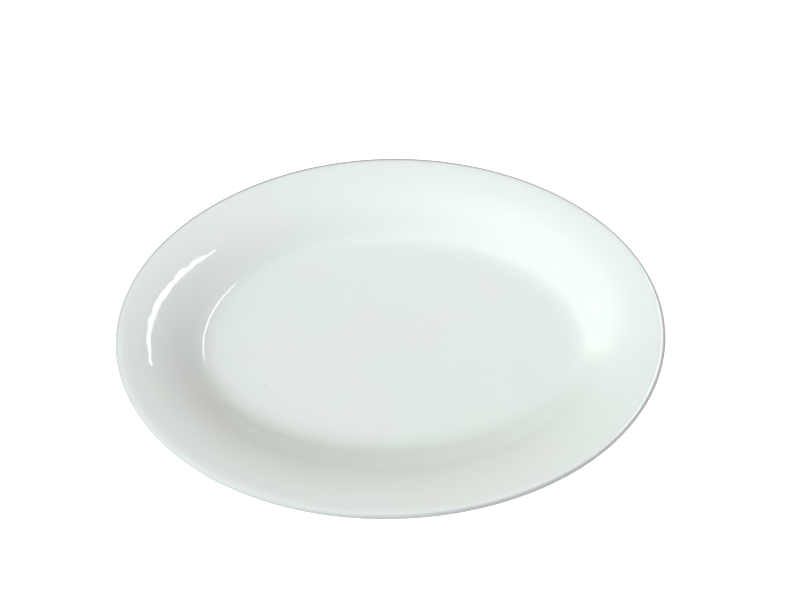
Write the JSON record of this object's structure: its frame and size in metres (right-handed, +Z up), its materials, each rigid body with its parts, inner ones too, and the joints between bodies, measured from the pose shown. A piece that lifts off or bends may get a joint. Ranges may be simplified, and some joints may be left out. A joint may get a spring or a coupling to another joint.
{
  "type": "serving platter",
  "caption": "Plain oval serving platter in glazed white china, with a shallow flat-floored well, a wide sloping rim, a rolled lip and a bare oval foot ring.",
  "frame": {"origin": "centre of the oval foot ring, on the plane of its bearing face", "axes": "+X along the platter's long axis, +Y across it, +Z up out of the well"},
  "size_m": [0.305, 0.221, 0.0302],
  "materials": {
    "bare_china": "unglazed fired china, matt and slightly rough, seen only on the foot ring",
    "glazed_china": "clear glaze over white china, high gloss, faintly green where it lies thick"
  },
  "bodies": {
    "root": {"porcelain_body": "bare_china", "table_glaze": "glazed_china", "base_glaze": "glazed_china"}
  },
  "joints": []
}
